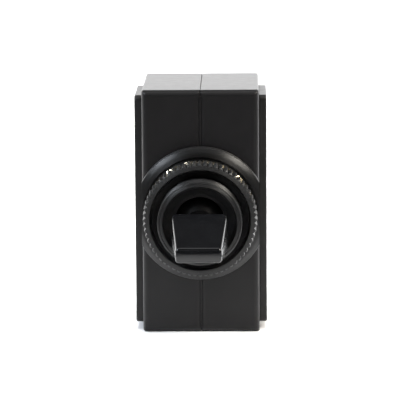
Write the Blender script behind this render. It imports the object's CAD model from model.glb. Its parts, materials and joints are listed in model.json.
import json
import math

import bmesh
import bpy
from mathutils import Matrix, Vector


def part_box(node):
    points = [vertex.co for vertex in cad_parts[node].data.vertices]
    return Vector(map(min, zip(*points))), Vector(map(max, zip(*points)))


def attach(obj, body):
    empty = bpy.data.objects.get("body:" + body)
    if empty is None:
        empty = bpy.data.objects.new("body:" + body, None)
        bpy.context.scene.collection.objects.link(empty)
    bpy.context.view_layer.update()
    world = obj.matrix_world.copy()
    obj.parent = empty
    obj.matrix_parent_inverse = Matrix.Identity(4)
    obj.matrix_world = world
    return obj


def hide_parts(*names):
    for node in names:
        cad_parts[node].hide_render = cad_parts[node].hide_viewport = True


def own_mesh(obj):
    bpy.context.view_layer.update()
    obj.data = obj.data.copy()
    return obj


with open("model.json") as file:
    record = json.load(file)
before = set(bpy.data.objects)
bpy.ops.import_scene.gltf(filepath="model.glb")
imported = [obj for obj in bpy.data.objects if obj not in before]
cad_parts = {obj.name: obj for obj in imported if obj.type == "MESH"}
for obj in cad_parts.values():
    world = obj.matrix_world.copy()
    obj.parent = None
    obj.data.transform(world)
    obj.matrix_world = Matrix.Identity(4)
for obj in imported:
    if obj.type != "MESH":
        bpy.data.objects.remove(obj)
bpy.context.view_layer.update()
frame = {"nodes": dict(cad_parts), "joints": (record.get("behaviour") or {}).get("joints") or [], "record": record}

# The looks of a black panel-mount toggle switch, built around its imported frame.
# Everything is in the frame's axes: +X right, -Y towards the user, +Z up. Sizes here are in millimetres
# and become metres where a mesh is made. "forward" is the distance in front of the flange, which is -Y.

MM = 0.001


def box_mm(node):
    """A CAD node's lowest and highest corner in millimetres."""
    low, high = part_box(node)
    return low / MM, high / MM


# ---------------------------------------------------------------- sizes read from the frame

SHELL_LOW, SHELL_HIGH = box_mm("housing_left")[0], box_mm("housing_right")[1]
PLATE_LOW, PLATE_HIGH = box_mm("side_plate_right")
STEM_LOW, STEM_HIGH = box_mm("threaded_stem")
NUT_LOW, NUT_HIGH = box_mm("face_nut")
UPPER_LOW, UPPER_HIGH = box_mm("upper_terminal")
WASHER_HIGH = box_mm("lock_washer")[1]
RIVET_HIGH = box_mm("body_rivets")[1]
BASE_HIGH = box_mm("terminal_base")[1]
COMMON_LOW = box_mm("common_terminal")[0]

JOINTS = {joint["name"]: joint for joint in frame["joints"]}
PIVOT = Vector(JOINTS["lever_swing"]["pos_m"]) / MM
# The lever is drawn at one end of its swing, so it leans by half the range
LEAN = math.radians(JOINTS["lever_swing"]["range_deg"][1]) / 2
FLOOR_Z = SHELL_LOW.z

HALF_W = SHELL_HIGH.x
HALF_H = SHELL_HIGH.z
FRONT_Y = SHELL_LOW.y
REAR_Y = SHELL_HIGH.y
PLATE_OUT_X = PLATE_HIGH.x
STEM_LENGTH = -STEM_LOW.y
FLANGE_R = STEM_HIGH.z
FLANGE_T = FRONT_Y
NUT_R = NUT_HIGH.z
NUT_REAR = -NUT_HIGH.y
NUT_FRONT = -NUT_LOW.y
WASHER_REAR = -WASHER_HIGH.y
BLADE_HALF_W = UPPER_HIGH.x
BLADE_END_Y = UPPER_HIGH.y

# ---------------------------------------------------------------- sizes of the finish

# Body: the wall, the radius of each rounded edge, the room left round what passes through, and how
# far a cutter reaches past what it cuts
WALL = 1.4
FILLET = 0.95
EDGE = 0.34
REAR_EDGE = 0.2
SEAM_EDGE = 0.09
PLATE_EDGE = 0.22
PLATE_CORNER = 0.8
HOLE_GAP = 0.02
CUT_PAST = 1

RIVET_HEAD_R = 2.0
RIVET_HEAD_T = 0.7
RIVET_SHANK_R = 1.2
RIVET_SEAT = 0.05

BLADE_T = 0.8
BLADE_HOLE_R = 0.8
BLADE_EDGE = 0.09

# Stem: radii, and distances forward of the flange
PILOT_R = 6.35
THREAD_R = 6.27
THREAD_ROOT = 5.78
THREAD_PITCH = 1.27
THREAD_START = 1.9
LIP_R = 6.3
LIP_L = 0.4
BOWL_R = 5.52
BOWL_DEPTH = 1.8
THROAT_R = 3.7
THROAT_L = 1.0
BORE_R = 4.6
COLLAR_R = 7.15
COLLAR_L = 1.2
STEM_REAR = -STEM_HIGH.y
FLANGE_FACE_R = 8.6
FLANGE_STEP = 0.25

KNURLS = 64
KNURL_D = 0.45
NUT_BORE_R = 6.34
SINK_R = 7.56
WASHER_IN_R = 6.45
WASHER_RING_R = 7.75
WASHER_OUT_R = 8.34
WASHER_T = 0.42
WASHER_TEETH = 18

# Paddle: distances from the pivot, and half thicknesses and half widths at its two ends
SHOULDER_S = 6.6
TIP_S = 16.5
ROOT_T, TIP_T = 3.1, 1.07
ROOT_W, TIP_W = 4.28, 3.42
TRIM_R = 5.05


# ---------------------------------------------------------------- mesh helpers

def finish_mesh(obj, sharp=32):
    """Welds an object's mesh, turns its faces outwards and smooths all but its sharp edges."""
    mesh = obj.data
    work = bmesh.new()
    work.from_mesh(mesh)
    bmesh.ops.remove_doubles(work, verts=work.verts, dist=0.0005 * MM)
    bmesh.ops.recalc_face_normals(work, faces=work.faces)
    work.to_mesh(mesh)
    work.free()
    mesh.shade_smooth()
    mesh.set_sharp_from_angle(angle=math.radians(sharp))
    return obj


def make_object(name, points, faces, sharp=32):
    """An object from points in millimetres."""
    mesh = bpy.data.meshes.new(name)
    mesh.from_pydata([Vector(p) * MM for p in points], [], faces)
    obj = bpy.data.objects.new(name, mesh)
    bpy.context.scene.collection.objects.link(obj)
    return finish_mesh(obj, sharp)


def apply_modifiers(obj, sharp=32):
    """Makes what an object's modifiers show its own mesh."""
    graph = bpy.context.evaluated_depsgraph_get()
    mesh = bpy.data.meshes.new_from_object(obj.evaluated_get(graph))
    old = obj.data
    obj.modifiers.clear()
    obj.data = mesh
    bpy.data.meshes.remove(old)
    return finish_mesh(obj, sharp)


def cut_out(obj, cutters, sharp=32):
    """Cuts the cutters out of an object and removes them."""
    for cutter in cutters:
        modifier = obj.modifiers.new("boolean", "BOOLEAN")
        modifier.operation = "DIFFERENCE"
        modifier.solver = "EXACT"
        modifier.object = cutter
    apply_modifiers(obj, sharp)
    for cutter in cutters:
        mesh = cutter.data
        bpy.data.objects.remove(cutter)
        bpy.data.meshes.remove(mesh)
    return obj


def bevel(obj, width, angle=40):
    """Rounds an object's edges that turn by more than an angle."""
    modifier = obj.modifiers.new("bevel", "BEVEL")
    modifier.width = width * MM
    modifier.segments = 2
    modifier.limit_method = "ANGLE"
    modifier.angle_limit = math.radians(angle)
    modifier.use_clamp_overlap = True
    modifier.miter_outer = "MITER_ARC"
    return apply_modifiers(obj)


def bevel_by_weight(obj, width_of, segments=5):
    """Rounds each edge by the width that width_of gives for its two ends, in millimetres."""
    mesh = obj.data
    widths = [width_of(*[mesh.vertices[v].co / MM for v in edge.vertices]) for edge in mesh.edges]
    layer = mesh.attributes.new("bevel_weight_edge", "FLOAT", "EDGE")
    layer.data.foreach_set("value", widths)
    modifier = obj.modifiers.new("bevel", "BEVEL")
    modifier.width = MM
    modifier.segments = segments
    modifier.limit_method = "WEIGHT"
    modifier.use_clamp_overlap = True
    return apply_modifiers(obj)


def move(obj, matrix):
    """Moves an object's mesh; the matrix is in millimetres."""
    scale = Matrix.Scale(MM, 4)
    obj.data.transform(scale @ matrix @ scale.inverted())
    return obj


def rounded(corners, steps=4):
    """A closed outline from (x, y, radius) corners, each one an arc of steps + 1 points."""
    out = []
    count = len(corners)
    for i, (x, y, radius) in enumerate(corners):
        here = Vector((x, y))
        back = (Vector(corners[i - 1][:2]) - here).normalized()
        ahead = (Vector(corners[(i + 1) % count][:2]) - here).normalized()
        half = back.angle(ahead) / 2
        if radius <= 0 or half > math.pi / 2 - 0.001:
            out.extend([here.copy() for _ in range(steps + 1 if radius > 0 else 1)])
            continue
        centre = here + (back + ahead).normalized() * (radius / math.sin(half))
        start = here + back * (radius / math.tan(half)) - centre
        end = here + ahead * (radius / math.tan(half)) - centre
        first = math.atan2(start.y, start.x)
        sweep = (math.atan2(end.y, end.x) - first + math.pi) % (2 * math.pi) - math.pi
        for k in range(steps + 1):
            angle = first + sweep * k / steps
            out.append(centre + Vector((math.cos(angle), math.sin(angle))) * radius)
    return [(p.x, p.y) for p in out]


def rounded_box(half_a, half_b, radius, steps=5, centre=(0, 0)):
    """A rounded rectangle's outline about a centre."""
    a, b = centre
    corners = [(a - half_a, b - half_b, radius), (a + half_a, b - half_b, radius),
               (a + half_a, b + half_b, radius), (a - half_a, b + half_b, radius)]
    return rounded(corners, steps)


def loft(name, rings, sharp=32):
    """A closed skin over rings of equally many points, with a face over each end."""
    count = len(rings[0])
    points = [p for ring in rings for p in ring]
    faces = []
    for i in range(len(rings) - 1):
        for k in range(count):
            n = (k + 1) % count
            faces.append((i * count + k, i * count + n, (i + 1) * count + n, (i + 1) * count + k))
    faces.append(tuple(range(count - 1, -1, -1)))
    faces.append(tuple((len(rings) - 1) * count + k for k in range(count)))
    return make_object(name, points, faces, sharp)


def slab(name, outline_at, levels, to_point):
    """A plate lofted through (inset, height) levels: outline_at gives the outline for an inset,
    and to_point places an outline's point at a height."""
    rings = [[to_point(u, v, height) for u, v in outline_at(inset)] for inset, height in levels]
    return loft(name, rings)


def edge_levels(low, high, low_edge, high_edge, steps=3):
    """(inset, height) levels of a plate between two heights with both its rims rounded."""
    out = []
    for k in range(steps + 1):
        a = math.pi / 2 * k / steps
        out.append((low_edge * (1 - math.sin(a)), low + low_edge * (1 - math.cos(a))))
    for k in range(steps + 1):
        a = math.pi / 2 * k / steps
        out.append((high_edge * (1 - math.cos(a)), high - high_edge * (1 - math.sin(a))))
    return out


def lathe(name, profile, steps, shape=None, sharp=32):
    """A turned solid about the stem's axis from a closed profile of (radius, forward) points.
    shape may change each point's radius and forward by its angle, which runs from +Z towards +X."""
    rows = len(profile)
    points = []
    for k in range(steps):
        angle = 2 * math.pi * k / steps
        for radius, forward in profile:
            if shape:
                radius, forward = shape(radius, forward, angle)
            points.append((radius * math.sin(angle), -forward, radius * math.cos(angle)))
    faces = []
    for k in range(steps):
        n = (k + 1) % steps
        for i in range(rows):
            j = (i + 1) % rows
            faces.append((k * rows + i, k * rows + j, n * rows + j, n * rows + i))
    return make_object(name, points, faces, sharp)


def rod(radius, start, end, steps=48):
    """A round cutter between two points."""
    start, end = Vector(start), Vector(end)
    turn = Vector((0, 0, 1)).rotation_difference(end - start).to_matrix().to_4x4()
    angles = [2 * math.pi * k / steps for k in range(steps)]
    rings = [[(radius * math.cos(a), radius * math.sin(a), height) for a in angles]
             for height in (0, (end - start).length)]
    return move(loft("cut", rings), Matrix.Translation(start) @ turn)


def block(low, high):
    """A cutter with flat sides between two corners."""
    outline = [(low[0], low[1]), (high[0], low[1]), (high[0], high[1]), (low[0], high[1])]
    rings = [[(x, y, z) for x, y in outline] for z in (low[2], high[2])]
    return loft("cut", rings)


# ---------------------------------------------------------------- materials

def new_material(name, color, roughness, metallic):
    """A material with its Principled shader, and a texture coordinate that stays with the piece."""
    material = bpy.data.materials.new(name)
    material.use_nodes = True
    nodes = material.node_tree.nodes
    shader = nodes["Principled BSDF"]
    shader.inputs["Base Color"].default_value = (*color, 1)
    shader.inputs["Roughness"].default_value = roughness
    shader.inputs["Metallic"].default_value = metallic
    place = nodes.new("ShaderNodeTexCoord")
    return material, nodes, material.node_tree.links, shader, place.outputs["Object"]


def add_noise(nodes, links, place, scale, detail=4.0, stretch=None):
    """A noise texture; scale is in features per metre, and stretch scales its axes."""
    texture = nodes.new("ShaderNodeTexNoise")
    texture.inputs["Scale"].default_value = scale
    texture.inputs["Detail"].default_value = detail
    if stretch:
        mapping = nodes.new("ShaderNodeMapping")
        mapping.inputs["Scale"].default_value = stretch
        links.new(place, mapping.inputs["Vector"])
        place = mapping.outputs["Vector"]
    links.new(place, texture.inputs["Vector"])
    return texture.outputs["Fac"]


def spread(nodes, links, source, low, high, start=0.35, end=0.65):
    """Maps a texture's middle range to low..high."""
    ranger = nodes.new("ShaderNodeMapRange")
    ranger.inputs["From Min"].default_value = start
    ranger.inputs["From Max"].default_value = end
    ranger.inputs["To Min"].default_value = low
    ranger.inputs["To Max"].default_value = high
    links.new(source, ranger.inputs["Value"])
    return ranger.outputs["Result"]


def tint(nodes, links, source, dark, light):
    """Mixes two colours by a texture."""
    mix = nodes.new("ShaderNodeMix")
    mix.data_type = "RGBA"
    mix.inputs["A"].default_value = (*dark, 1)
    mix.inputs["B"].default_value = (*light, 1)
    links.new(source, mix.inputs["Factor"])
    return mix.outputs["Result"]


def add_bump(nodes, links, shader, source, depth):
    """Bump from a height texture; depth is in millimetres."""
    bump = nodes.new("ShaderNodeBump")
    bump.inputs["Strength"].default_value = 1.0
    bump.inputs["Distance"].default_value = depth * MM
    links.new(source, bump.inputs["Height"])
    links.new(bump.outputs["Normal"], shader.inputs["Normal"])


def plastic(name, dark, light, rough, grain, depth, specular=0.5):
    """Moulded plastic: faint mottling between two colours, uneven gloss and a fine grain.
    grain is in features per metre and depth is its height in millimetres."""
    material, nodes, links, shader, place = new_material(name, light, rough[0], 0.0)
    mottling = add_noise(nodes, links, place, 260, 3)
    links.new(tint(nodes, links, spread(nodes, links, mottling, 0, 1), dark, light),
              shader.inputs["Base Color"])
    blotches = add_noise(nodes, links, place, 700, 5)
    links.new(spread(nodes, links, blotches, rough[0], rough[1]), shader.inputs["Roughness"])
    shader.inputs["Specular IOR Level"].default_value = specular
    add_bump(nodes, links, shader, add_noise(nodes, links, place, grain, 3), depth)
    return material


def turned(material, amount):
    """Draws a material's highlights out along the radius, as on a face turned about the stem's axis."""
    quarter_turn = 0.25
    nodes, links = material.node_tree.nodes, material.node_tree.links
    shader = nodes["Principled BSDF"]
    around = nodes.new("ShaderNodeTangent")
    around.direction_type = "RADIAL"
    around.axis = "Y"
    links.new(around.outputs["Tangent"], shader.inputs["Tangent"])
    shader.inputs["Anisotropic"].default_value = amount
    shader.inputs["Anisotropic Rotation"].default_value = quarter_turn


def metal(name, dark, light, rough, stretch, depth, grain=4000):
    """Metal with a faint stain and with scratches, which run along the axis that stretch makes small."""
    material, nodes, links, shader, place = new_material(name, light, rough[0], 1.0)
    stain = add_noise(nodes, links, place, 420, 4)
    links.new(tint(nodes, links, spread(nodes, links, stain, 0, 1), dark, light),
              shader.inputs["Base Color"])
    scratch = add_noise(nodes, links, place, grain, 3, stretch)
    links.new(spread(nodes, links, scratch, rough[0], rough[1]), shader.inputs["Roughness"])
    add_bump(nodes, links, shader, scratch, depth)
    return material


# How each slot of the record looks: its colour runs from dark to light and its roughness over rough
PLASTICS = {
    "stem_plastic": dict(
        dark=(0.0025, 0.0025, 0.0027), light=(0.0035, 0.0035, 0.0037),
        rough=(0.4, 0.44), grain=5200, depth=0.0003, specular=0.62),
    "nut_black": dict(
        dark=(0.004, 0.004, 0.004), light=(0.006, 0.006, 0.0059),
        rough=(0.36, 0.4), grain=6000, depth=0.0004, specular=0.62),
    "shell_plastic": dict(
        dark=(0.0036, 0.0033, 0.0036), light=(0.0046, 0.0042, 0.0046),
        rough=(0.355, 0.375), grain=5200, depth=0.0003, specular=0.26),
    "plate_plastic": dict(
        dark=(0.007, 0.0066, 0.0065), light=(0.009, 0.0085, 0.0084),
        rough=(0.39, 0.43), grain=4800, depth=0.0005, specular=0.3),
    "lever_plastic": dict(
        dark=(0.0016, 0.0016, 0.0017), light=(0.0024, 0.0024, 0.0025),
        rough=(0.45, 0.55), grain=4200, depth=0.0003, specular=0.06),
    "paddle_plastic": dict(
        dark=(0.0022, 0.0023, 0.0028), light=(0.0032, 0.0034, 0.004),
        rough=(0.16, 0.2), grain=3600, depth=0.0002, specular=0.45),
    "retainer_plastic": dict(
        dark=(0.4, 0.36, 0.28), light=(0.5, 0.46, 0.37),
        rough=(0.4, 0.5), grain=4200, depth=0.0006),
    "plunger_nylon": dict(
        dark=(0.7, 0.67, 0.58), light=(0.82, 0.8, 0.72),
        rough=(0.3, 0.4), grain=4200, depth=0.0005),
    "base_phenolic": dict(
        dark=(0.011, 0.0085, 0.0065), light=(0.018, 0.014, 0.011),
        rough=(0.44, 0.52), grain=3600, depth=0.002, specular=0.4),
    "rivet_black": dict(
        dark=(0.012, 0.012, 0.013), light=(0.02, 0.02, 0.021),
        rough=(0.3, 0.36), grain=5200, depth=0.0005, specular=0.7),
}
EVEN = (1, 1, 1)
ALONG_X, ALONG_Y, ALONG_Z = (0.05, 1, 1), (1, 0.05, 1), (1, 1, 0.05)
METALS = {
    "washer_brass": dict(
        dark=(0.5, 0.42, 0.28), light=(0.86, 0.78, 0.6),
        rough=(0.1, 0.2), stretch=EVEN, depth=0.001, grain=3000),
    "pin_steel": dict(
        dark=(0.5, 0.5, 0.51), light=(0.66, 0.66, 0.68),
        rough=(0.2, 0.32), stretch=ALONG_X, depth=0.0004),
    "spring_steel": dict(
        dark=(0.4, 0.4, 0.42), light=(0.58, 0.58, 0.6),
        rough=(0.22, 0.34), stretch=EVEN, depth=0.0003),
    "rocker_copper": dict(
        dark=(0.6, 0.32, 0.18), light=(0.78, 0.45, 0.28),
        rough=(0.25, 0.4), stretch=ALONG_Z, depth=0.0004),
    "contact_silver": dict(
        dark=(0.7, 0.7, 0.7), light=(0.86, 0.86, 0.87),
        rough=(0.2, 0.34), stretch=EVEN, depth=0.0004),
    "terminal_brass": dict(
        dark=(0.66, 0.53, 0.29), light=(0.76, 0.63, 0.37),
        rough=(0.26, 0.34), stretch=ALONG_Y, depth=0.0003),
}


def make_materials():
    """One material for each of the record's slots."""
    made = {name: plastic(name, **look) for name, look in PLASTICS.items()}
    made.update({name: metal(name, **look) for name, look in METALS.items()})
    turned(made["stem_plastic"], 0.9)
    turned(made["nut_black"], 0.8)
    return made


MATERIALS = make_materials()


def dress(obj, body, slot, *nodes):
    """Gives a piece its material and slot, makes it ride on a body, and hides the nodes it stands for."""
    obj.data.materials.clear()
    obj.data.materials.append(MATERIALS[slot])
    for face in obj.data.polygons:
        face.material_index = 0
    # Keeps large flat faces evenly shaded beside their rounded edges
    weighted = obj.modifiers.new("weighted_normals", "WEIGHTED_NORMAL")
    weighted.keep_sharp = True
    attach(obj, body)
    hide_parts(*nodes)
    return obj


# ---------------------------------------------------------------- body

def rivet_places():
    """The (y, z) places of the four rivets: as far in from each end of the side plates."""
    inset = PLATE_HIGH.y - RIVET_HIGH.y + RIVET_HEAD_R
    z = RIVET_HIGH.z - RIVET_HEAD_R
    return [(y, side * z) for y in (PLATE_LOW.y + inset, PLATE_HIGH.y - inset) for side in (-1, 1)]


RIVETS = rivet_places()


def half_shell(side):
    """One half of the housing: a tray open at the seam and at the rear, with moulded edges."""
    outer = [(x, y, z) for x in (0, HALF_W) for y in (FRONT_Y, REAR_Y) for z in (-HALF_H, HALF_H)]
    inner = [(x, y, z) for x in (0, HALF_W - WALL) for y in (FRONT_Y + WALL, REAR_Y)
             for z in (WALL - HALF_H, HALF_H - WALL)]
    points = [(side * x, y, z) for x, y, z in outer + inner]

    def corner(inside, far_x, far_y, top):
        """A point's place in the list: each argument is 0 or 1."""
        return 8 * inside + 4 * far_x + 2 * far_y + top

    faces = []
    for inside in (0, 1):
        faces.append([corner(inside, x, 0, z) for x, z in ((0, 0), (1, 0), (1, 1), (0, 1))])
        faces.append([corner(inside, 1, y, z) for y, z in ((0, 0), (1, 0), (1, 1), (0, 1))])
        for top in (0, 1):
            faces.append([corner(inside, x, y, top) for x, y in ((0, 0), (1, 0), (1, 1), (0, 1))])
    seam_path = [(1, 0), (0, 0), (0, 1), (1, 1)]
    rear_path = [(0, 0), (1, 0), (1, 1), (0, 1)]
    for k in range(3):
        (y0, z0), (y1, z1) = seam_path[k], seam_path[k + 1]
        faces.append([corner(0, 0, y0, z0), corner(0, 0, y1, z1),
                      corner(1, 0, y1, z1), corner(1, 0, y0, z0)])
        (x0, z0), (x1, z1) = rear_path[k], rear_path[k + 1]
        faces.append([corner(0, x0, 1, z0), corner(0, x1, 1, z1),
                      corner(1, x1, 1, z1), corner(1, x0, 1, z0)])
    obj = make_object("shell_right" if side > 0 else "shell_left", points, faces)

    def width(a, b):
        """The rounding of the edge from a to b, by which outer faces it lies on."""
        def lies_at(axis, value):
            return all(abs(abs(end[axis]) - value) < 0.01 for end in (a, b))

        at_front, at_rear = lies_at(1, FRONT_Y), lies_at(1, REAR_Y)
        at_end, at_side, at_seam = lies_at(2, HALF_H), lies_at(0, HALF_W), lies_at(0, 0)
        if at_front and at_end:
            return FILLET
        if at_seam and (at_front or at_end):
            return SEAM_EDGE
        if at_rear and (at_end or at_side):
            return REAR_EDGE
        if at_side and (at_front or at_end):
            return EDGE
        return 0.0

    bevel_by_weight(obj, width)
    front, behind = FRONT_Y - CUT_PAST, FRONT_Y + WALL + CUT_PAST
    cuts = [rod(PILOT_R + HOLE_GAP, (0, front, 0), (0, behind, 0), 96)]
    past = PLATE_OUT_X + CUT_PAST
    for y, z in RIVETS:
        cuts.append(rod(RIVET_SHANK_R + HOLE_GAP, (-past, y, z), (past, y, z)))
    return cut_out(obj, cuts)


def seam_bead(low_z, high_z):
    """The thin moulding line that stands proud of the front face along the seam."""
    half_w, height, sunk = 0.13, 0.035, 0.05
    outline = [(half_w * math.cos(a), FRONT_Y + sunk - (height + sunk) * math.sin(a))
               for a in [math.pi * k / 8 for k in range(9)]]
    rings = [[(x, y, z) for x, y in outline] for z in (low_z, high_z)]
    return loft("seam_bead_upper" if low_z > 0 else "seam_bead_lower", rings, 60)


def side_plate(side):
    """A side plate with a rounded outline, softened rims and sunk rivet seats."""
    mid_y = (PLATE_LOW.y + PLATE_HIGH.y) / 2
    half_y, half_z = (PLATE_HIGH.y - PLATE_LOW.y) / 2, PLATE_HIGH.z
    inner_edge = 0.08
    hole_edge = 0.06

    def outline(inset):
        return rounded_box(half_y - inset, half_z - inset, PLATE_CORNER - inset * 0.6, 6, (mid_y, 0.0))

    obj = slab("plate_right" if side > 0 else "plate_left", outline,
               edge_levels(HALF_W, PLATE_OUT_X, inner_edge, PLATE_EDGE, 4),
               lambda y, z, x: (side * x, y, z))
    under, seat, past = [side * x for x in (HALF_W - CUT_PAST, PLATE_OUT_X - RIVET_HEAD_T,
                                            PLATE_OUT_X + CUT_PAST)]
    cuts = []
    for y, z in RIVETS:
        cuts.append(rod(RIVET_SHANK_R + HOLE_GAP, (under, y, z), (past, y, z)))
        cuts.append(rod(RIVET_HEAD_R + RIVET_SEAT, (seat, y, z), (past, y, z), 64))
    cut_out(obj, cuts)
    return bevel(obj, hole_edge)


def rivet(index, y, z):
    """A rivet across the body with a domed head and a rolled dimple at each end."""
    end = PLATE_OUT_X
    under = end - RIVET_HEAD_T
    half = [(0.0, end - 0.32), (0.35, end - 0.3), (0.62, end - 0.16), (0.78, end - 0.03), (0.95, end),
            (1.35, end - 0.02), (1.7, end - 0.1), (1.92, end - 0.24), (RIVET_HEAD_R, end - 0.45),
            (RIVET_HEAD_R, under + 0.08), (RIVET_HEAD_R - 0.08, under), (RIVET_SHANK_R, under)]
    profile = half + [(r, -f) for r, f in reversed(half)]
    obj = lathe("rivet_%d" % index, profile, 48)
    return move(obj, Matrix.Translation((0, y, z)) @ Matrix.Rotation(math.pi / 2, 4, "Z"))


def terminal_base():
    """The insulator that closes the back: sunk fields round three raised bars with a slot each."""
    half_x, half_z, back = BASE_HIGH.x, BASE_HIGH.z, BASE_HIGH.y
    front = back - 3.4
    corner_r, field_corner_r = 0.4, 0.6
    front_edge, back_edge, cut_edge = 0.1, 0.18, 0.07
    bar, rim, sunk, slope = 1.7, 1.0, 0.45, 0.12
    slot_gap = 0.06
    mark_x, mark_r = 3.6, 1.1
    blade_z = UPPER_HIGH.z - BLADE_T / 2

    def across(x, z, y):
        return x, y, z

    def plate_outline(inset):
        return rounded_box(half_x - inset, half_z - inset, corner_r - inset * 0.5, 4)

    def field_cut(low, high):
        def outline(inset):
            return rounded_box(half_x - rim - inset, (high - low) / 2 - inset, field_corner_r, 4,
                               (0, (low + high) / 2))

        levels = [(slope, back - sunk), (0, back - sunk + slope), (0, back + CUT_PAST)]
        return slab("cut", outline, levels, across)

    obj = slab("rear_base", plate_outline, edge_levels(front, back, front_edge, back_edge), across)
    cuts = []
    for low, high in [(bar, blade_z - bar), (blade_z + bar, half_z - rim)]:
        cuts.append(field_cut(-high, -low))
        cuts.append(field_cut(low, high))
    slot_x, slot_z = BLADE_HALF_W + slot_gap, BLADE_T / 2 + slot_gap
    for z in (-blade_z, 0, blade_z):
        cuts.append(block((-slot_x, front - CUT_PAST, z - slot_z), (slot_x, back + CUT_PAST, z + slot_z)))
    cut_out(obj, cuts)
    marks = []
    for z in (-blade_z / 2, blade_z / 2):
        for x in (-mark_x, mark_x):
            marks.append(rod(mark_r, (x, back - sunk - slope, z), (x, back + CUT_PAST, z)))
    cut_out(obj, marks)
    return bevel(obj, cut_edge)


def blade_cuts(z):
    """The hole and the two tip chamfers of a blade at height z."""
    hole_y = (BLADE_END_Y + REAR_Y) / 2
    cut = BLADE_HALF_W / 3
    reach = 1.5
    cuts = [rod(BLADE_HOLE_R, (0, hole_y, z - reach), (0, hole_y, z + reach), 40)]
    for side in (-1, 1):
        near, past = side * (BLADE_HALF_W - cut), side * (BLADE_HALF_W + CUT_PAST)
        outline = [(near, BLADE_END_Y), (past, BLADE_END_Y - cut - CUT_PAST),
                   (past, BLADE_END_Y + CUT_PAST), (near, BLADE_END_Y + CUT_PAST)]
        cuts.append(loft("cut", [[(x, y, z + h) for x, y in outline] for h in (-reach, reach)]))
    return cuts


def outer_terminal(side):
    """A stamped blade with its tab bent towards the contacts."""
    top = UPPER_HIGH.z
    under = top - BLADE_T
    start, low = UPPER_LOW.y, UPPER_LOW.z
    inner_bend, outer_bend = 0.35, 0.75
    corners = [(start, low, 0), (start + BLADE_T, low, 0), (start + BLADE_T, under, inner_bend),
               (BLADE_END_Y, under, 0), (BLADE_END_Y, top, 0), (start, top, outer_bend)]
    outline = rounded(corners, 6)
    rings = [[(x, y, side * z) for y, z in outline] for x in (-BLADE_HALF_W, BLADE_HALF_W)]
    obj = loft("terminal_upper" if side > 0 else "terminal_lower", rings)
    cut_out(obj, blade_cuts(side * (top - BLADE_T / 2)))
    return bevel(obj, BLADE_EDGE, 35)


def common_terminal():
    """A straight blade that ends inside in the rolled fulcrum."""
    roll = 0.8
    fulcrum = COMMON_LOW.y + roll
    outline = [(BLADE_END_Y, -BLADE_T / 2), (BLADE_END_Y, BLADE_T / 2)]
    start = math.asin(BLADE_T / 2 / roll)
    steps = 20
    for k in range(steps + 1):
        angle = start + (2 * math.pi - 2 * start) * k / steps
        outline.append((fulcrum + roll * math.cos(angle), roll * math.sin(angle)))
    rings = [[(x, y, z) for y, z in outline] for x in (-BLADE_HALF_W, BLADE_HALF_W)]
    obj = loft("terminal_common", rings)
    cut_out(obj, blade_cuts(0))
    return bevel(obj, BLADE_EDGE)


# ---------------------------------------------------------------- stem, nut and washer

def thread_wave(phase):
    """A thread's height, 0 at its root and 1 at its crest, over one pitch."""
    phase = phase % 1.0
    rise, crest = 0.38, 0.14
    if phase < rise:
        return phase / rise
    if phase < rise + crest:
        return 1.0
    if phase < 2 * rise + crest:
        return 1 - (phase - rise - crest) / rise
    return 0.0


def threaded_stem():
    """Flange, pilot, thread, lip and bowl. The flange's sides are cut flush with the body."""
    tip = STEM_LENGTH
    thread_end = tip - LIP_L
    throat = tip - BOWL_DEPTH
    groove_d = 0.06
    run_out = 0.35
    rows = 78

    def shape(radius, forward, angle):
        """Cuts the thread into the points that lie at its radius, and fades it at its two ends."""
        if radius != THREAD_R:
            return radius, forward
        wave = thread_wave(forward / THREAD_PITCH + angle / (2 * math.pi))
        fade = min(1, (forward - THREAD_START) / run_out, (thread_end - forward) / run_out)
        return THREAD_R - (THREAD_R - THREAD_ROOT) * (1 - wave) * max(0, fade), forward

    outer = [(PILOT_R, THREAD_START - 0.25), (THREAD_R + 0.001, THREAD_START - 0.12)]
    outer += [(THREAD_R, THREAD_START + (thread_end - THREAD_START) * k / rows) for k in range(rows + 1)]
    # The lip has a fine groove round its face, and the bowl narrows to the throat
    lip = rounded([(THREAD_R - 0.02, thread_end, 0), (LIP_R, thread_end + 0.06, 0.05), (LIP_R, tip, 0.12),
                   (LIP_R - 0.3, tip, 0.02), (LIP_R - 0.36, tip - groove_d, 0.02),
                   (LIP_R - 0.42, tip, 0.02), (BOWL_R, tip, 0.12), (BOWL_R - 0.32, tip - 0.62, 0.5),
                   (THROAT_R + 0.5, throat + 0.15, 0.6), (THROAT_R, throat, 0.12),
                   (THROAT_R, throat - THROAT_L, 0.1), (BORE_R, throat - THROAT_L, 0)], 5)
    collar_front = STEM_REAR + COLLAR_L
    rear = [(BORE_R, STEM_REAR), (COLLAR_R, STEM_REAR), (COLLAR_R, collar_front), (PILOT_R, collar_front)]
    # The flange's rim has a sloped shoulder and stands a low step forward of its face
    disc = rounded([(PILOT_R, -FLANGE_T, 0), (FLANGE_R, -FLANGE_T, 0.1), (FLANGE_R, -0.32, 0.16),
                    (FLANGE_R - 0.7, 0, 1.0), (FLANGE_FACE_R + 0.08, 0, 0.07),
                    (FLANGE_FACE_R, -FLANGE_STEP, 0.06), (PILOT_R, -FLANGE_STEP, 0.05)], 6)
    stem = lathe("stem", rear + disc + outer + lip, 192, shape, 24)
    sides = []
    for side in (-1, 1):
        low, high = sorted((side * HALF_W, side * (FLANGE_R + CUT_PAST)))
        sides.append(block((low, -CUT_PAST, -FLANGE_R - CUT_PAST),
                           (high, FLANGE_T + CUT_PAST, FLANGE_R + CUT_PAST)))
    return cut_out(stem, sides, sharp=24)


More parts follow.
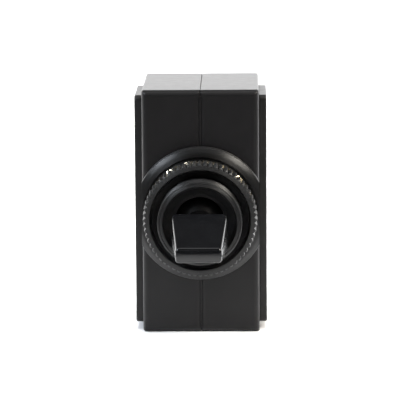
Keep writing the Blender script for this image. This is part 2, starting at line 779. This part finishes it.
def face_nut():
    """A knurled round nut: straight knurls that run out in a chamfer, and a countersunk front."""
    rear, front = NUT_REAR, NUT_FRONT
    chamfer, rear_chamfer = 0.24, 0.2
    crest_share = 0.16
    steps = KNURLS * 8

    def knurl(angle):
        """The radius round the knurls: flat crests with straight flanks down to sharp roots."""
        phase = (angle / (2 * math.pi) * KNURLS) % 1.0
        down = 1 - abs(phase - 0.5) * 2
        return NUT_R - KNURL_D * max(0.0, down - crest_share) / (1 - crest_share)

    def shape(radius, forward, angle):
        """Knurls the outside, within the cones of its two chamfers."""
        if radius < NUT_R - 0.001:
            return radius, forward
        front_cone = NUT_R - 0.02 - chamfer + (front - forward)
        rear_cone = NUT_R - rear_chamfer + (forward - rear)
        return min(knurl(angle), front_cone, rear_cone), forward

    outside = [rear + step for step in (0, 0.07, 0.14, 0.24, 0.5)]
    outside += [front - chamfer + step for step in (-0.3, 0, 0.07, 0.14)]
    outside += [front - 0.04, front]
    profile = [(NUT_R, f) for f in outside]
    inside = rounded([(NUT_R - 0.6, front, 0), (SINK_R, front, 0.1), (SINK_R - 0.25, front - 1.1, 0.2),
                      (NUT_BORE_R, front - 1.5, 0.05), (NUT_BORE_R, rear + 0.2, 0.02),
                      (NUT_BORE_R + 0.2, rear, 0)], 3)
    return lathe("face_nut_knurled", profile + inside, steps, shape, 26)


def lock_washer():
    """A spring washer whose teeth are twisted, so that each one bites with one corner."""
    mid = WASHER_REAR + 0.225
    half, tooth_half = WASHER_T / 2, WASHER_T * 0.36
    points_per_tooth = 12
    steps = WASHER_TEETH * points_per_tooth
    tooth_half_share = 0.36
    twist = 0.1
    dish = 0.24

    def shape(radius, forward, angle):
        """Leaves the teeth between their gaps, each dished back and twisted more towards its end."""
        if radius <= WASHER_RING_R + 0.001:
            return radius, forward
        out = (radius - WASHER_RING_R) / (WASHER_OUT_R - WASHER_RING_R)
        across = (angle / (2 * math.pi) * WASHER_TEETH) % 1.0 - 0.5
        if abs(across) >= tooth_half_share:
            return WASHER_RING_R + 0.001 * out, forward
        return radius, forward + (twist * across / tooth_half_share - dish) * out

    radii = [WASHER_RING_R, WASHER_RING_R + 0.3, WASHER_RING_R + 0.65, WASHER_OUT_R - 0.05]
    profile = [(WASHER_IN_R, mid - half), (WASHER_IN_R, mid + half)]
    profile += [(r, mid + tooth_half) for r in radii]
    profile += [(WASHER_OUT_R, mid)]
    profile += [(r, mid - tooth_half) for r in reversed(radii)]
    return lathe("lock_washer_toothed", profile, steps, shape, 24)


# ---------------------------------------------------------------- lever

def paddle():
    """A wedge with drafted flanks, a parting line along each, rolled edges and a crowned tip."""
    draft = 0.12
    corner_r = 0.5
    end_r = 0.28
    crown = 0.24
    root_round = 0.35
    line_h, line_d = 0.03, 0.05
    edge_s = TIP_S - crown

    def section(s, inset, squeeze=1.0):
        """The outline at a distance from the pivot, with its half thickness."""
        share = (s - SHOULDER_S) / (TIP_S - SHOULDER_S)
        thick = ROOT_T + (TIP_T - ROOT_T) * share - inset
        wide = ROOT_W + (TIP_W - ROOT_W) * share - inset
        trim = math.sqrt(max(0.1, TRIM_R ** 2 - thick ** 2)) - inset * 0.5
        top_w = min(wide - draft, trim)
        mid_w = min(wide, TRIM_R - 0.3 - inset)
        flank_w = mid_w - line_d
        radius = max(0.03, min(corner_r, thick * 0.6) - inset * 0.3)
        right = [(top_w, thick, radius), (flank_w, line_h * 2, 0.04), (mid_w, line_h, 0.02),
                 (mid_w, -line_h, 0.02), (flank_w, -line_h * 2, 0.04), (top_w, -thick, radius)]
        left = [(-x, t, r) for x, t, r in reversed(right)]
        outline = rounded(right + left, 5)
        return [(x * squeeze, t * squeeze) for x, t in outline], thick * squeeze

    rings = []

    def add_ring(s, inset, squeeze=1.0, bulge=0.0):
        """A ring that bulges forward by up to bulge at mid thickness."""
        outline = section(s, inset, squeeze)[0]
        full = section(s, inset)[1]
        rings.append([(x, -s - bulge * (1 - (t / full) ** 2), t) for x, t in outline])

    # Each end closes with rings that shrink towards its middle
    for squeeze in (0.3, 0.65):
        add_ring(SHOULDER_S, root_round, squeeze)
    for k in range(5):
        a = math.pi / 2 * k / 4
        add_ring(SHOULDER_S + root_round * (1 - math.cos(a)), root_round * (1 - math.sin(a)))
    spans = 14
    first, last = SHOULDER_S + root_round, edge_s - end_r
    for k in range(1, spans):
        add_ring(first + (last - first) * k / spans, 0)
    for k in range(9):
        a = math.pi / 2 * k / 8
        add_ring(last + end_r * math.sin(a), end_r * (1 - math.cos(a)), 1.0, crown * math.sin(a))
    for squeeze in (0.95, 0.88, 0.78, 0.66, 0.54, 0.42, 0.3, 0.18, 0.06):
        add_ring(edge_s, end_r, squeeze, crown)
    obj = loft("paddle_cap", rings, 34)
    return move(obj, Matrix.Translation(PIVOT) @ Matrix.Rotation(LEAN, 4, "X"))


def plunger_spring():
    """A copy of the spring's mesh that shortens towards its front end as the plunger slides in."""
    node = frame["nodes"]["plunger_spring"]
    spring = bpy.data.objects.new("plunger_spring_coil", node.data.copy())
    bpy.context.scene.collection.objects.link(spring)
    dress(spring, "lever", "spring_steel", "plunger_spring")
    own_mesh(spring)


# ---------------------------------------------------------------- assembly

SEAM_TUCK = 0.3
dress(half_shell(-1), "switch_body", "shell_plastic", "housing_left")
dress(half_shell(1), "switch_body", "shell_plastic", "housing_right")
for low_z, high_z in ((FLANGE_R - SEAM_TUCK, HALF_H - FILLET), (FILLET - HALF_H, SEAM_TUCK - FLANGE_R)):
    dress(seam_bead(low_z, high_z), "switch_body", "shell_plastic", "housing_left", "housing_right")
dress(side_plate(-1), "switch_body", "plate_plastic", "side_plate_left")
dress(side_plate(1), "switch_body", "plate_plastic", "side_plate_right")
for number, (rivet_y, rivet_z) in enumerate(RIVETS):
    dress(rivet(number + 1, rivet_y, rivet_z), "switch_body", "rivet_black", "body_rivets")
dress(terminal_base(), "switch_body", "base_phenolic", "terminal_base")
dress(outer_terminal(1), "switch_body", "terminal_brass", "upper_terminal")
dress(outer_terminal(-1), "switch_body", "terminal_brass", "lower_terminal")
dress(common_terminal(), "switch_body", "terminal_brass", "common_terminal")
dress(threaded_stem(), "switch_body", "stem_plastic", "threaded_stem")
dress(face_nut(), "nut", "nut_black", "face_nut")
dress(lock_washer(), "washer", "washer_brass", "lock_washer")
dress(paddle(), "lever", "paddle_plastic", "paddle")

# Hidden nodes keep their CAD meshes and take a material
CARRIED_OVER = ["lever_core", "pivot_pin", "pivot_retainer", "plunger", "contact_rocker", "moving_contacts",
                "fixed_contacts"]
SLOTS = {part["node"]: part["material_slot"] for part in frame["record"]["subparts"]}
for node_name in CARRIED_OVER:
    node = frame["nodes"][node_name]
    node.data.materials.clear()
    node.data.materials.append(MATERIALS[SLOTS[node_name]])

plunger_spring()


# ---------------------------------------------------------------- floor, light and camera

def add_floor():
    """A plain pale floor under the switch."""
    reach = 4000
    dark, light = (0.855, 0.855, 0.866), (0.865, 0.865, 0.875)
    points = [(x * reach, y * reach, FLOOR_Z) for x, y in ((-1, -1), (1, -1), (1, 1), (-1, 1))]
    floor = make_object("floor", points, [(0, 1, 2, 3)])
    material, nodes, links, shader, place = new_material("floor_white", light, 0.9, 0.0)
    mottling = add_noise(nodes, links, place, 40, 2)
    links.new(tint(nodes, links, mottling, dark, light), shader.inputs["Base Color"])
    shader.inputs["Specular IOR Level"].default_value = 0.1
    floor.data.materials.append(material)


def add_area(name, place, target, size, power, color, spread_deg, in_gloss=True):
    """A soft light in a beam; place, target and size are in millimetres and power is in watts."""
    light = bpy.data.lights.new(name, "AREA")
    light.shape = "RECTANGLE"
    light.size, light.size_y = size[0] * MM, size[1] * MM
    light.energy = power
    light.color = color
    light.spread = math.radians(spread_deg)
    obj = bpy.data.objects.new(name, light)
    bpy.context.scene.collection.objects.link(obj)
    obj.location = Vector(place) * MM
    obj.rotation_euler = (Vector(target) - Vector(place)).to_track_quat("-Z", "Y").to_euler()
    obj.visible_glossy = in_gloss
    obj.visible_camera = False


def add_world():
    """A studio that looks white but lights dimly, save for a low glow behind and a patch overhead."""
    dim, white = 0.06, 1.05
    world = bpy.data.worlds.new("studio")
    bpy.context.scene.world = world
    world.use_nodes = True
    nodes, links = world.node_tree.nodes, world.node_tree.links
    background = nodes["Background"]
    place = nodes.new("ShaderNodeTexCoord")
    split = nodes.new("ShaderNodeSeparateXYZ")
    links.new(place.outputs["Generated"], split.inputs["Vector"])

    def smooth(source, start, end, low, high):
        """Eases from low to high as source goes from start to end."""
        ranger = nodes.new("ShaderNodeMapRange")
        ranger.interpolation_type = "SMOOTHSTEP"
        for key, value in zip(("From Min", "From Max", "To Min", "To Max"), (start, end, low, high)):
            ranger.inputs[key].default_value = value
        links.new(source, ranger.inputs["Value"])
        return ranger.outputs["Result"]

    def combined(operation, a, b):
        node = nodes.new("ShaderNodeMath")
        node.operation = operation
        for socket, value in zip(node.inputs, (a, b)):
            if isinstance(value, float):
                socket.default_value = value
            else:
                links.new(value, socket)
        return node.outputs[0]

    # A direction's Y is 1 straight behind the switch, and its Z is 1 straight up
    behind = smooth(split.outputs["Y"], start=-0.3, end=0.75, low=0.0, high=3.4)
    near_floor = smooth(split.outputs["Z"], start=0.2, end=0.5, low=1.0, high=0.0)
    overhead = smooth(split.outputs["Z"], start=0.86, end=0.98, low=0.0, high=1.5)
    glow = combined("MULTIPLY", behind, near_floor)
    level = combined("ADD", combined("ADD", glow, overhead), dim)
    background.inputs["Color"].default_value = (1, 1, 1, 1)
    seen = nodes.new("ShaderNodeBackground")
    seen.inputs["Color"].default_value = (1, 1, 1, 1)
    seen.inputs["Strength"].default_value = white
    path = nodes.new("ShaderNodeLightPath")
    mix = nodes.new("ShaderNodeMixShader")
    links.new(level, background.inputs["Strength"])
    links.new(path.outputs["Is Camera Ray"], mix.inputs["Fac"])
    links.new(background.outputs["Background"], mix.inputs[1])
    links.new(seen.outputs["Background"], mix.inputs[2])
    links.new(mix.outputs["Shader"], nodes["World Output"].inputs["Surface"])


def add_camera():
    """A long lens, a little above the switch and in front of it, with its slight turn and roll."""
    lift, turn, roll = math.radians(9.158), math.radians(-0.943), math.radians(-0.373)
    distance = 418.6
    lens_in_widths = 6.897
    aim = Vector((-0.1, FRONT_Y, FLOOR_Z + 20.47))
    unturn = Matrix.Rotation(-turn, 3, "Z")
    view = unturn @ Vector((0, math.cos(lift), -math.sin(lift)))
    right = unturn @ Vector((1, 0, 0))
    up = unturn @ Vector((0, math.sin(lift), math.cos(lift)))
    rolled_right = right * math.cos(roll) + up * math.sin(roll)
    rolled_up = up * math.cos(roll) - right * math.sin(roll)
    place = aim - view * distance
    camera = bpy.data.cameras.new("camera")
    camera.sensor_width = 36
    camera.lens = lens_in_widths * camera.sensor_width
    camera.clip_start = 10 * MM
    camera.clip_end = 20
    obj = bpy.data.objects.new("camera", camera)
    bpy.context.scene.collection.objects.link(obj)
    axes = Matrix((rolled_right, rolled_up, -view)).transposed().to_4x4()
    obj.matrix_world = Matrix.Translation(place * MM) @ axes
    bpy.context.scene.camera = obj


add_floor()
add_world()
add_area("light_left", place=(-200, -168, 208), target=(0, 0, 0), size=(140, 140),
         power=0.075, color=(0.86, 0.92, 1.0), spread_deg=40)
add_area("light_right", place=(192, -160, 220), target=(0, 0, 0), size=(140, 140),
         power=0.1, color=(1.0, 0.95, 0.86), spread_deg=40)
# Lies level over the floor from just in front of the switch back, so the floor before it stays dim
add_area("light_floor", place=(0, 732, 231), target=(0, 732, FLOOR_Z), size=(1800, 1500),
         power=16.0, color=(1, 1, 1), spread_deg=50, in_gloss=False)
add_camera()
bpy.context.scene.view_settings.view_transform = "Standard"
